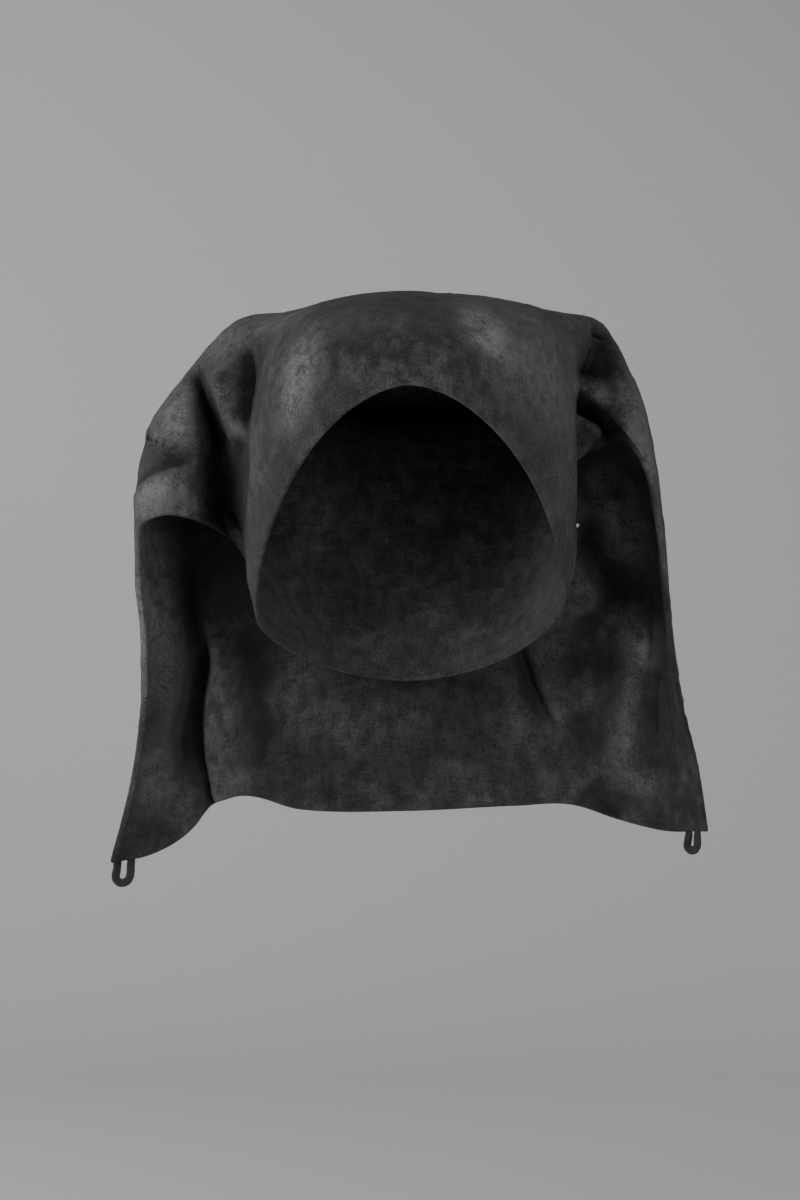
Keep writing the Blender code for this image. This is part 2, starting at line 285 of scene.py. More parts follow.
# Folds of the inner panel's upper part alone, which shows under the edge of the right puff
INNER_FOLDS = {
    "gap under the right edge": (
        ((0.066, -0.050), (0.078, -0.0530), (0.0868, -0.0567), (0.0931, -0.0598), (0.0994, -0.0635),
         (0.1026, -0.0661), (0.110, -0.074)),
        0.022, 0.013, -0.002, 0.006, 0.0008,
    ),
    "hollow right of the facet": (
        ((0.107, -0.058), (0.1026, -0.0661), (0.0926, -0.0803), (0.0884, -0.0882), (0.084, -0.096)),
        0.014, 0.012, 0.000, 0.004, 0.0010,
    ),
}

# The corner loops: where each one hangs across the tail, how far its plane is turned about the vertical, how
# far it drops below the hem, how far its foot leans to the right, and how much its legs close at the top
# Columns: x, turn in degrees, drop, lean, pinch
LOOPS = {
    "left_loop": (-0.1551, 25, 0.0146, -0.0016, 0.10),
    "right_loop": (0.1568, -48, 0.0128, -0.0014, 0.30),
}
LOOP_WIDTH = 0.0133
LOOP_DEPTH = 0.0046
LOOP_THICKNESS = 0.0036
# How far the legs are tucked in above the hem, and how much flatter they are pressed there
LOOP_TUCK = 0.0045
LOOP_PRESSED = 0.65
LOOP_FACETS = 28
# The groove where the rolled cloth closes: its angle round the cord, its width as an angle, and its depth as
# a share of the cord's radius
LOOP_JOIN_AT = 4.4
LOOP_JOIN_WIDTH = 0.22
LOOP_JOIN_DEPTH = 0.16

# Mesh fineness: steps away from an edge, where the cloth's edge is rounded, and then how many even steps
EDGE_STEPS = (0.0, 0.0002, 0.0005, 0.0010, 0.0017, 0.0026)
ROWS = 210
HALF_COLUMNS = 98


def smooth_step(value, low, high):
    """0 below low, 1 above high, and a smooth turn between them."""
    t = np.clip((value - low) / (high - low), 0, 1)
    return t * t * (3 - 2 * t)


def curve_through(knots, values, at):
    """A smooth curve through values at knots, read at the places in at."""
    slopes = np.gradient(values, knots)
    index = np.clip(np.searchsorted(knots, at) - 1, 0, len(knots) - 2)
    span = knots[index + 1] - knots[index]
    t = (at - knots[index]) / span
    before, after = values[index], values[index + 1]
    return (
        (1 + 2 * t) * (1 - t) ** 2 * before
        + t * (1 - t) ** 2 * span * slopes[index]
        + t * t * (3 - 2 * t) * after
        + t * t * (t - 1) * span * slopes[index + 1]
    )


def sections(runs):
    """Every column of SECTIONS as a smooth array along the bag."""
    table = np.array(SECTIONS)
    return {
        name: curve_through(table[:, 0], table[:, column], runs)
        for column, name in enumerate(SECTION_COLUMNS)
    }


def arch(seam, middle, spread, turn):
    """Points of a panel's rounded section, from the side seam at 0 to its middle at a quarter turn."""
    sideways = np.abs(np.cos(turn)) ** spread
    sideways[turn > math.pi / 2 - 1e-9] = 0
    towards = np.sin(turn) ** spread
    return np.stack(
        [
            seam[0] * sideways,
            seam[1] + (middle[1] - seam[1]) * towards,
            seam[2] + (middle[2] - seam[2]) * towards,
        ],
        axis=1,
    )


def arch_turns(seam, middles, spread):
    """Angles that divide both panels' sections into even steps along the cloth, finer at the seam."""
    fine = np.linspace(0, math.pi / 2, 401)
    share = np.zeros(len(fine))
    length = 0
    for middle in middles:
        line = arch(seam, middle, spread, fine)
        along = np.concatenate([[0], np.cumsum(np.linalg.norm(np.diff(line, axis=0), axis=1))])
        share += along / along[-1] / len(middles)
        length += along[-1] / len(middles)
    edge = np.array(EDGE_STEPS) / length
    wanted = np.concatenate([edge, np.linspace(edge[-1], 1, HALF_COLUMNS + 1)[1:]])
    return np.interp(wanted, share, fine)


def normals(grid, is_outer):
    """Unit normals of a panel's grid, pointing out of the bag."""
    across = np.gradient(grid, axis=1)
    down = np.gradient(grid, axis=0)
    normal = np.cross(across, down) if is_outer else np.cross(down, across)
    return normal / np.maximum(np.linalg.norm(normal, axis=2, keepdims=True), 1e-12)


def along_grid(grid):
    """The distance over the cloth from the left seam, and from the opening, at each point of a grid."""
    across = np.linalg.norm(np.diff(grid, axis=1), axis=2)
    down = np.linalg.norm(np.diff(grid, axis=0), axis=2)
    from_left = np.concatenate([np.zeros((len(grid), 1)), np.cumsum(across, axis=1)], axis=1)
    from_rim = np.concatenate([np.zeros((1, grid.shape[1])), np.cumsum(down, axis=0)], axis=0)
    return from_left, from_rim


def panel_grids(runs):
    """The outer and the inner panel's base surfaces, as rows of points from the left seam to the right."""
    s = sections(runs)
    rows = ([], [])
    for i in range(len(runs)):
        middles = [(0, s[layer + "_y"][i], s[layer + "_z"][i]) for layer in ("outer", "inner")]
        halves = ([], [])
        for side in ("left", "right"):
            seam = (s[side + "_x"][i], s[side + "_y"][i], s[side + "_z"][i])
            spread = s[side + "_spread"][i]
            turns = arch_turns(seam, middles, spread)
            for layer in range(2):
                halves[layer].append(arch(seam, middles[layer], spread, turns))
        for layer in range(2):
            left, right = halves[layer]
            rows[layer].append(np.concatenate([left, right[-2::-1]]))
    grids = []
    for layer in range(2):
        grid = np.array(rows[layer])
        from_left, _ = along_grid(grid)
        from_seam = np.minimum(from_left, from_left[:, -1:] - from_left)
        fullness = FULLNESS * (1 - np.exp(-from_seam / FULLNESS_REACH))
        grids.append(grid + normals(grid, layer == 0) * fullness[..., None])
    return grids


def smooth_line(points, count=28):
    """Points on a smooth line through the given ones."""
    points = np.array(points)
    knots = np.concatenate([[0], np.cumsum(np.linalg.norm(np.diff(points, axis=0), axis=1))])
    at = np.linspace(0, knots[-1], count)
    return np.stack([curve_through(knots, points[:, k], at) for k in range(2)], axis=1)


def fold_push(x, z, points, left_depth, left_width, right_depth, right_width, crease):
    """How far one fold pushes the cloth at x, z along Y."""
    line = smooth_line(points)
    nearest = np.full(x.shape, 1e9)
    signed = np.zeros(x.shape)
    place = np.zeros(x.shape)
    for k in range(len(line) - 1):
        dx, dz = line[k + 1] - line[k]
        length2 = dx * dx + dz * dz
        px, pz = x - line[k, 0], z - line[k, 1]
        t = np.clip((px * dx + pz * dz) / length2, 0, 1)
        distance = np.hypot(px - t * dx, pz - t * dz)
        side = np.where(dx * pz - dz * px >= 0, 1.0, -1.0)
        closer = distance < nearest
        nearest = np.where(closer, distance, nearest)
        signed = np.where(closer, distance * side, signed)
        place = np.where(closer, (k + t) / (len(line) - 1), place)
    left = 0.5 + 0.5 * np.tanh(signed / crease)
    reach_left = left_depth * np.exp(-((nearest / left_width) ** FOLD_FALLOFF))
    reach_right = right_depth * np.exp(-((nearest / right_width) ** FOLD_FALLOFF))
    ends = smooth_step(place, 0, FOLD_ENDS) * smooth_step(1 - place, 0, FOLD_ENDS)
    return (left * reach_left + (1 - left) * reach_right) * ends


def folded(grid, runs, is_outer):
    """The panel with its far end cut to the hem's line and its folds pressed in."""
    run = runs[:, None]
    hem = np.array(HEM)
    level = curve_through(hem[:, 0], hem[:, 1], np.clip(grid[-1, :, 0], hem[0, 0], hem[-1, 0]))
    drop = (level - grid[-1, :, 2])[None, :] * smooth_step(run, HEM_STARTS, 1.0)
    x, y = grid[..., 0], grid[..., 1]
    lift = np.zeros(x.shape)
    for at_x, at_y, half_width, half_depth, height in LIFTS.values():
        lift += height * np.exp(-(((x - at_x) / half_width) ** 2) - ((y - at_y) / half_depth) ** 2)
    from_seam = 1 - np.abs(np.linspace(-1, 1, grid.shape[1]))
    grown = (1 - smooth_step(run, *CROWN_FADES)) * smooth_step(from_seam, 0, LIFTS_REACH)
    lift *= grown if is_outer else 0
    grid = grid + (drop + lift)[..., None] * np.array([0, 0, 1])
    z = grid[..., 2]
    crown = sum(fold_push(x, z, *fold) for fold in CROWN_FOLDS.values())
    fades = OUTER_FOLDS_FADE if is_outer else CROWN_FADES
    crown = crown * (1 - smooth_step(run, *fades)) * smooth_step(run, 0.0, 0.10)
    crown = crown * (1 - smooth_step(y, *CROWN_FOLDS_REACH))
    if not is_outer:
        crown = crown * (1 - smooth_step(from_seam, 0.1, 0.6))
        under = sum(fold_push(x, z, *fold) for fold in INNER_FOLDS.values())
        crown = crown + under * (1 - smooth_step(run, *CROWN_FADES)) * smooth_step(from_seam, 0.0, 0.02)
    tail = sum(fold_push(x, z, *fold) for fold in TAIL_FOLDS.values()) * smooth_step(run, *TAIL_STARTS)
    return grid + (crown + tail)[..., None] * np.array([0, 1, 0])


def noise_at(u, v, scales, layer, shift_u=0.0, shift_v=0.0):
    """Smooth noise at a place on the cloth, from -1 to 1."""
    return noise.noise(Vector((u * scales[0] + shift_u, v * scales[1] + shift_v, layer)))


def crumpled(grid, is_outer):
    """The panel with the soft crumple of washed linen, and puckers along its seams."""
    from_left, from_rim = along_grid(grid)
    from_seam = np.minimum(from_left, from_left[:, -1:] - from_left)
    from_end = from_rim[-1:] - from_rim
    seed = 3.0 if is_outer else 17.0
    out = np.zeros(grid.shape[:2])
    for i in range(grid.shape[0]):
        for j in range(grid.shape[1]):
            u, v = from_left[i, j], from_rim[i, j]
            big = noise_at(u, v, BROAD_WAVES, seed)
            warp = noise_at(u, v, BENDING_WAVES, seed + 5)
            ridge = 1 - 2 * abs(noise_at(u, v, RIDGE_WAVES, seed + 9, warp, big))
            small = noise_at(u, v, FINE_WAVES, seed + 13, ridge, warp)
            out[i, j] = BROAD_CRUMPLE * big + RIDGE_CRUMPLE * ridge * (0.4 + big) + FINE_CRUMPLE * small
    pucker = SEAM_PUCKER * np.sin(from_rim * 2 * math.pi / SEAM_PUCKER_LENGTH + 3 * out / CLOTH)
    out += pucker * np.exp(-((from_seam - PUCKER_MIDDLE) ** 2) / PUCKER_REACH**2)
    end_pucker = END_PUCKER * np.sin(from_left * 2 * math.pi / END_PUCKER_LENGTH + 3 * out / CLOTH)
    out += end_pucker * np.exp(-((from_end - PUCKER_MIDDLE) ** 2) / PUCKER_REACH**2)
    calm = smooth_step(from_seam, 0.0, PUCKER_REACH) * smooth_step(from_end, 0.0, PUCKER_REACH)
    calm *= RIM_CALM + (1 - RIM_CALM) * smooth_step(from_rim, 0.0, RIM_CALM_REACH)
    return grid + normals(grid, is_outer) * (out * calm)[..., None]


def convexity(grid, is_outer):
    """How far each point stands out from the cloth around it, from -1 in a valley to 1 on a ridge."""
    blurred = grid.copy()
    for _ in range(RIDGE_PASSES):
        padded = np.pad(blurred, ((1, 1), (1, 1), (0, 0)), mode="edge")
        sides = padded[:-2, 1:-1] + padded[2:, 1:-1] + padded[1:-1, :-2] + padded[1:-1, 2:]
        blurred = 0.2 * (padded[1:-1, 1:-1] + sides)
    stand = ((grid - blurred) * normals(blurred, is_outer)).sum(-1)
    return np.tanh(stand / RIDGE_HEIGHT)


def rounded(distance, radius):
    """0 at a cloth's edge, rising round to 1 at the radius."""
    t = np.clip(distance / radius, 0, 1)
    return np.sqrt(1 - (1 - t) ** 2)


def cloth_panel(name, flat_grid, grid, is_outer, material):
    """A closed piece of cloth on a grid of points, its back on the grid. Its sewn edges are rounded on the
    face alone, so that both panels close on each other there, and its rim is folded in as a hem."""
    normal = normals(grid, is_outer)
    from_left, from_rim = along_grid(flat_grid)
    from_seam = np.minimum(from_left, from_left[:, -1:] - from_left)
    from_end = from_rim[-1:] - from_rim
    sewn = np.minimum(rounded(from_seam, CLOTH), rounded(from_end, CLOTH))
    hem = (RIM_THICKNESS - CLOTH) * (1 - smooth_step(from_rim, RIM_HEM - 0.001, RIM_HEM + 0.0006)) * sewn
    face_height = CLOTH * np.maximum(sewn, 0.05)
    middle = (face_height - hem) / 2
    half = (face_height + hem) / 2 * np.maximum(rounded(from_rim, RIM_THICKNESS / 2), 0.04)
    face = grid + normal * (middle + half)[..., None]
    back = grid + normal * (middle - half)[..., None]
    rows, columns = grid.shape[:2]
    points = np.concatenate([face.reshape(-1, 3), back.reshape(-1, 3)])
    index = np.arange(rows * columns).reshape(rows, columns)
    back_index = index + rows * columns

    def quads(a, b, c, d):
        return np.stack([a.ravel(), b.ravel(), c.ravel(), d.ravel()], axis=1)

    front = quads(index[:-1, :-1], index[1:, :-1], index[1:, 1:], index[:-1, 1:])
    behind = quads(back_index[:-1, :-1], back_index[:-1, 1:], back_index[1:, 1:], back_index[1:, :-1])
    border = np.concatenate([index[0, :-1], index[:-1, -1], index[-1, :0:-1], index[::-1, 0]])
    edge = quads(border[:-1], border[1:], border[1:] + rows * columns, border[:-1] + rows * columns)
    faces = np.concatenate([front, behind, edge])
    if is_outer:
        faces = faces[:, ::-1]
    mesh = bpy.data.meshes.new(name)
    mesh.from_pydata(points.tolist(), [], faces.tolist())
    mesh.shade_smooth()
    across = from_left - from_left[:, -1:] / 2
    flat_map = np.stack([across, from_rim], axis=-1).reshape(-1, 2)
    flat_map = np.concatenate([flat_map, flat_map + (0.0037, 0.0053)])
    uv = mesh.uv_layers.new(name="cloth")
    loop_points = np.empty(len(mesh.loops), dtype=np.int32)
    mesh.loops.foreach_get("vertex_index", loop_points)
    uv.data.foreach_set("uv", flat_map[loop_points].astype(np.float32).ravel())
    seam_wear = OUTER_SEAM_WEAR if is_outer else INNER_SEAM_WEAR
    off_line = (np.minimum(from_seam, from_end) - SEAM_WEAR_MIDDLE) / SEAM_WEAR_WIDTH
    edges = np.exp(-(off_line**2)) * seam_wear + RIM_WEAR * np.exp(-from_rim / RIM_WEAR_REACH)
    # Ridges are painted paler, partly as wear and partly as painted highlight, and valleys painted darker as
    # painted shade
    wear_and_shade = np.clip(convexity(grid, is_outer) * RIDGE_WEAR_AND_SHADE + edges, -1, 1).ravel()
    attribute = mesh.attributes.new("wear_and_shade", "FLOAT", "POINT")
    attribute.data.foreach_set("value", np.concatenate([wear_and_shade, wear_and_shade * BACK_WEAR]).astype(np.float32))
    mesh.materials.append(material)
    panel = bpy.data.objects.new(name, mesh)
    bpy.context.scene.collection.objects.link(panel)
    return panel


def loop_path(radius, drop, lean, pinch):
    """The middle line of a hanging U in its own plane, as (aside, up): both legs start above the hem."""
    bottom = -drop + radius + LOOP_DEPTH / 2
    leg = np.linspace(LOOP_TUCK, bottom, 22, endpoint=False)
    bend = np.linspace(math.pi, 2 * math.pi, 37)
    aside = np.concatenate([np.full(len(leg), -radius), radius * np.cos(bend), np.full(len(leg), radius)])
    up = np.concatenate([leg, bottom + radius * np.sin(bend), leg[::-1]])
    aside = aside * (1 - pinch * smooth_step(up, -drop, 0.0)) + lean * np.clip(-up / drop, 0, 1)
    return np.stack([aside, up], axis=1)


def corner_loop(name, x, turn_degrees, drop, lean, pinch, outer, inner, material):
    """A loop of cloth rolled into a cord, and pressed flat where it is sewn in between the hem's layers."""
    ends = [grid[-1][np.argsort(grid[-1, :, 0])] for grid in (outer, inner)]
    y = sum(np.interp(x, end[:, 0], end[:, 1]) for end in ends) / 2
    z = min(np.interp(x, end[:, 0], end[:, 2]) for end in ends)
    path = loop_path((LOOP_WIDTH - LOOP_DEPTH) / 2, drop, lean, pinch)
    tangent = np.gradient(path, axis=0)
    tangent /= np.linalg.norm(tangent, axis=1, keepdims=True)
    along = np.concatenate([[0], np.cumsum(np.linalg.norm(np.diff(path, axis=0), axis=1))])
    turn = math.radians(turn_degrees)
    sideways = np.array([math.cos(turn), math.sin(turn), 0])
    through = np.array([-math.sin(turn), math.cos(turn), 0])
    round_about = np.linspace(0, 2 * math.pi, LOOP_FACETS, endpoint=False)
    points = []
    for (aside, up), (forward_aside, forward_up), length in zip(path, tangent, along):
        pressed = 1 - LOOP_PRESSED * smooth_step(up, -0.0030, 0.0005)
        outwards = forward_up * sideways - forward_aside * np.array([0, 0, 1])
        for angle in round_about:
            rumple = noise.noise(Vector((3.0 * math.cos(angle), 3.0 * math.sin(angle), length * 420 + x)))
            fine = noise.noise(Vector((7.0 * math.cos(angle), 7.0 * math.sin(angle), length * 900 - x)))
            groove = math.exp(-(((angle - LOOP_JOIN_AT) / LOOP_JOIN_WIDTH) ** 2))
            size = 1 + 0.09 * rumple + 0.04 * fine - LOOP_JOIN_DEPTH * groove
            wide = LOOP_DEPTH / 2 * size * math.cos(angle) * outwards
            thick = LOOP_THICKNESS / 2 * pressed * size * math.sin(angle) * through
            points.append(np.array([x, y, z + up]) + aside * sideways + wide + thick)
    count = LOOP_FACETS
    faces = []
    flat_map = []
    for i in range(len(path) - 1):
        for j in range(count):
            after = (j + 1) % count
            faces.append((i * count + j, i * count + after, (i + 1) * count + after, (i + 1) * count + j))
            around = [LOOP_DEPTH * math.pi * k / count for k in (j, j + 1, j + 1, j)]
            flat_map += list(zip(around, (along[i], along[i], along[i + 1], along[i + 1])))
    for start, step in ((0, -1), ((len(path) - 1) * count, 1)):
        cap = tuple(start + j for j in range(count))[::step]
        faces.append(cap)
        flat_map += [(LOOP_DEPTH * 0.5, 0.0)] * count
    mesh = bpy.data.meshes.new(name)
    mesh.from_pydata([tuple(point) for point in points], [], faces)
    mesh.shade_smooth()
    uv = mesh.uv_layers.new(name="cloth")
    uv.data.foreach_set("uv", np.array(flat_map, dtype=np.float32).ravel())
    attribute = mesh.attributes.new("wear_and_shade", "FLOAT", "POINT")
    attribute.data.foreach_set("value", np.full(len(points), 0.2, dtype=np.float32))
    mesh.materials.append(material)
    loop = bpy.data.objects.new(name, mesh)
    bpy.context.scene.collection.objects.link(loop)
    outside = bmesh.new()
    outside.from_mesh(mesh)
    bmesh.ops.recalc_face_normals(outside, faces=outside.faces)
    outside.to_mesh(mesh)
    outside.free()
    return loop


class Nodes:
    """A material's node tree, with short calls for the nodes that the finishes here need."""

    def __init__(self, name):
        self.material = bpy.data.materials.new(name)
        self.material.use_nodes = True
        self.tree = self.material.node_tree
        self.shader = self.tree.nodes["Principled BSDF"]

    def add(self, kind, inputs=None, **settings):
        node = self.tree.nodes.new(kind)
        for key, value in settings.items():
            setattr(node, key, value)
        for key, value in (inputs or {}).items():
            self.feed(node.inputs[key], value)
        return node

    def feed(self, socket, value):
        if isinstance(value, bpy.types.NodeSocket):
            self.tree.links.new(value, socket)
        elif isinstance(value, bpy.types.Node):
            self.tree.links.new(value.outputs[0], socket)
        else:
            socket.default_value = value

    def math(self, operation, first, second=0.0, third=0.0):
        return self.add("ShaderNodeMath", {0: first, 1: second, 2: third}, operation=operation).outputs[0]

    def noise(self, vector, scale, detail=2.0, roughness=0.5):
        inputs = {"Vector": vector, "Scale": scale, "Detail": detail, "Roughness": roughness}
        return self.add("ShaderNodeTexNoise", inputs).outputs[0]

    def ramp(self, factor, low, high, to_low=0.0, to_high=1.0):
        inputs = {"Value": factor, "From Min": low, "From Max": high, "To Min": to_low, "To Max": to_high}
        return self.add("ShaderNodeMapRange", inputs, interpolation_type="SMOOTHSTEP").outputs[0]

    def mix(self, factor, first, second):
        inputs = {0: factor, 6: first, 7: second}
        return self.add("ShaderNodeMix", inputs, data_type="RGBA").outputs[2]


# Places painted paler, partly as rubbed and washed-out cloth and partly as painted light, and deep places
# painted darker as painted shade. The strength says how pale a place is, or how dark where it is below 0.
# The lean says how far a place's foot is to the right, for each metre down.
# Columns: x, y, z, half x, half y, half z, lean, strength
PALE_AND_SHADED_PLACES = {
    "left puff, lower": (-0.124, 0.030, -0.105, 0.021, 0.05, 0.012, 0.0, 0.75),
    "left puff, middle": (-0.121, 0.030, -0.060, 0.013, 0.05, 0.016, 0.0, 0.48),
    "left puff, top": (-0.100, 0.020, -0.022, 0.016, 0.05, 0.010, 0.0, 0.30),
    "left flap": (-0.0945, 0.020, -0.052, 0.005, 0.03, 0.007, 0.3, 0.22),
    "tip of the left flap": (-0.0885, 0.020, -0.068, 0.0035, 0.03, 0.007, 0.4, 0.60),
    "left temple": (-0.0535, -0.050, -0.046, 0.008, 0.05, 0.024, -0.25, 0.58),
    "left of the crown": (-0.064, 0.000, -0.012, 0.018, 0.05, 0.008, 0.0, 0.30),
    "right of the crown": (0.038, -0.040, -0.026, 0.011, 0.05, 0.014, 0.5, 1.10),
    "right temple": (0.060, -0.030, -0.045, 0.020, 0.05, 0.026, 0.4, 0.28),
    "right puff's facet": (0.0965, 0.030, -0.0475, 0.011, 0.05, 0.006, 0.6, 0.60),
    "right puff's side": (0.121, 0.040, -0.072, 0.007, 0.05, 0.030, 0.3, 0.60),
    "left ridge of the tail": (-0.139, 0.085, -0.158, 0.013, 0.06, 0.048, 0.0, 0.62),
    "left ridge's foot": (-0.141, 0.095, -0.250, 0.009, 0.06, 0.018, 0.0, 0.25),
    "left inner pleat": (-0.103, 0.110, -0.220, 0.006, 0.06, 0.042, 0.0, 0.12),
    "left inner pleat's foot": (-0.092, 0.110, -0.260, 0.016, 0.06, 0.009, 0.0, 0.18),
    # Painted light: the right side's upper and middle places are painted paler where the lamps leave the
    # cloth in shade
    "right side, upper": (0.119, 0.085, -0.110, 0.012, 0.06, 0.032, 0.3, 0.70),
    "right side, middle": (0.128, 0.100, -0.178, 0.010, 0.06, 0.013, 0.0, 0.50),
    "right pleat": (0.1225, 0.110, -0.227, 0.006, 0.06, 0.020, 0.0, 0.10),
    "right pleat's foot": (0.129, 0.110, -0.257, 0.010, 0.06, 0.008, 0.3, 0.20),
    "right inner side": (0.080, 0.110, -0.165, 0.012, 0.06, 0.024, 0.0, 0.25),
    # Painted shade: the places below are painted darker where the cloth is meant to lie in shade, in hollows
    # and under the overhangs
    "middle of the brow": (-0.008, -0.050, -0.018, 0.046, 0.06, 0.026, 0.0, -0.80),
    "dent of the right puff": (0.1010, 0.020, -0.0260, 0.0125, 0.05, 0.0155, 0.4, -0.90),
    "patch beside the left flap": (-0.0785, 0.010, -0.046, 0.010, 0.05, 0.020, 0.0, -0.70),
    "cavity of the left puff": (-0.095, 0.050, -0.100, 0.012, 0.06, 0.030, 0.0, -0.70),
    "under the right edge": (0.0975, 0.060, -0.0580, 0.008, 0.04, 0.011, 1.3, -0.80),
    "band across the right side": (0.107, 0.100, -0.136, 0.011, 0.06, 0.020, 1.2, -0.70),
    "pocket of the left side": (-0.1165, 0.100, -0.210, 0.008, 0.06, 0.030, 0.0, -0.60),
    "under the left puff": (-0.097, 0.110, -0.150, 0.030, 0.06, 0.042, 0.0, -0.95),
    "right edge of the tail": (0.147, 0.100, -0.215, 0.008, 0.06, 0.050, 0.0, -0.45),
}


def pale_and_shaded_places(n, place):
    """How much paler the named places make the cloth, and the share of its paleness that the places of
    painted shade leave.
    """
    ragged = n.math("MULTIPLY_ADD", n.noise(place, 75, 4, 0.65), 1.9, -0.95)
    apart = n.add("ShaderNodeSeparateXYZ", {0: place})
    pale = 0.0
    painted_shade = 0.0
    for x, y, z, half_x, half_y, half_z, lean, strength in PALE_AND_SHADED_PLACES.values():
        down = n.math("SUBTRACT", z, apart.outputs[2])
        aside = n.math("SUBTRACT", n.math("SUBTRACT", apart.outputs[0], x), n.math("MULTIPLY", down, lean))
        off = n.add(
            "ShaderNodeCombineXYZ",
            {
                0: n.math("DIVIDE", aside, half_x),
                1: n.math("DIVIDE", n.math("SUBTRACT", apart.outputs[1], y), half_y),
                2: n.math("DIVIDE", down, half_z),
            },
        )
        away = n.add("ShaderNodeVectorMath", {0: off}, operation="LENGTH").outputs["Value"]
        spot = n.ramp(n.math("ADD", away, ragged), 0.2, 1.7, strength, 0.0)
        if strength > 0:
            pale = n.math("MAXIMUM", pale, spot)
        else:
            painted_shade = n.math("MINIMUM", painted_shade, spot)
    return pale, n.math("ADD", painted_shade, 1.0)


# How much each kind of roughness in the linen varies its paleness, and how its slubs are drawn out along the
# thread: the smaller, the longer
SLUBS_SHARE = 0.32
FUZZ_SHARE = 0.85
GRAIN_SHARE = 0.35
MOTTLE_SHARE = 0.9
THREAD_SHARE = 0.35
SLUB_STRETCH = 0.09

# A ramp that spreads the middle of a noise evenly about 0: from low, from high, to low, to high
CENTRED = (0.34, 0.66, -0.5, 0.5)


